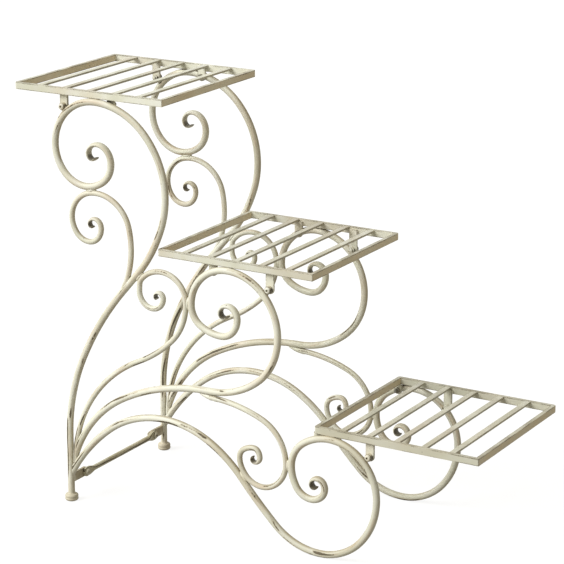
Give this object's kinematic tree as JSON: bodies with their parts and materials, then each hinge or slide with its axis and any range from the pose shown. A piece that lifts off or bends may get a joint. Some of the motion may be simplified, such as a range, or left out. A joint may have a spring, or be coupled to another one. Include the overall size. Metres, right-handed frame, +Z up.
{
  "type": "plant stand",
  "caption": "Tiered plant stand with square slatted shelves in a staircase, carried between scrolled side frames of bent rod.",
  "frame": {"origin": "on the floor under the middle of the stand", "axes": "+Z up, +X from the tall rear end towards the low shelf, +Y towards the far side frame"},
  "size_m": [0.742, 0.268, 0.62],
  "materials": {
    "frame_paint": "distressed ivory paint, satin",
    "shelf_paint": "distressed ivory paint, satin",
    "fastener": "dark oxide"
  },
  "bodies": {
    "root": {"back_bar_lug": "frame_paint", "back_foot": "frame_paint", "back_low_eye": "frame_paint", "back_low_long_tab": "frame_paint", "back_low_scroll": "frame_paint", "back_low_short_tab": "frame_paint", "back_lower_curl": "frame_paint", "back_middle_curl": "frame_paint", "back_middle_eye": "frame_paint", "back_middle_long_tab": "frame_paint", "back_middle_scroll": "frame_paint", "back_middle_short_tab": "frame_paint", "back_tall_scroll": "frame_paint", "back_top_eye": "frame_paint", "back_top_long_tab": "frame_paint", "back_top_short_tab": "frame_paint", "back_upper_curl": "frame_paint", "bar_bolts": "fastener", "bar_nuts": "fastener", "cross_bar": "frame_paint", "front_bar_lug": "frame_paint", "front_foot": "frame_paint", "front_low_eye": "frame_paint", "front_low_long_tab": "frame_paint", "front_low_scroll": "frame_paint", "front_low_short_tab": "frame_paint", "front_lower_curl": "frame_paint", "front_middle_curl": "frame_paint", "front_middle_eye": "frame_paint", "front_middle_long_tab": "frame_paint", "front_middle_scroll": "frame_paint", "front_middle_short_tab": "frame_paint", "front_tall_scroll": "frame_paint", "front_top_eye": "frame_paint", "front_top_long_tab": "frame_paint", "front_top_short_tab": "frame_paint", "front_upper_curl": "frame_paint", "long_screws": "fastener", "low_rim": "shelf_paint", "low_slat_1": "shelf_paint", "low_slat_2": "shelf_paint", "low_slat_3": "shelf_paint", "low_slat_4": "shelf_paint", "low_slat_5": "shelf_paint", "middle_rim": "shelf_paint", "middle_slat_1": "shelf_paint", "middle_slat_2": "shelf_paint", "middle_slat_3": "shelf_paint", "middle_slat_4": "shelf_paint", "middle_slat_5": "shelf_paint", "shelf_nuts": "fastener", "short_screws": "fastener", "top_rim": "shelf_paint", "top_slat_1": "shelf_paint", "top_slat_2": "shelf_paint", "top_slat_3": "shelf_paint", "top_slat_4": "shelf_paint", "top_slat_5": "shelf_paint"}
  },
  "joints": []
}
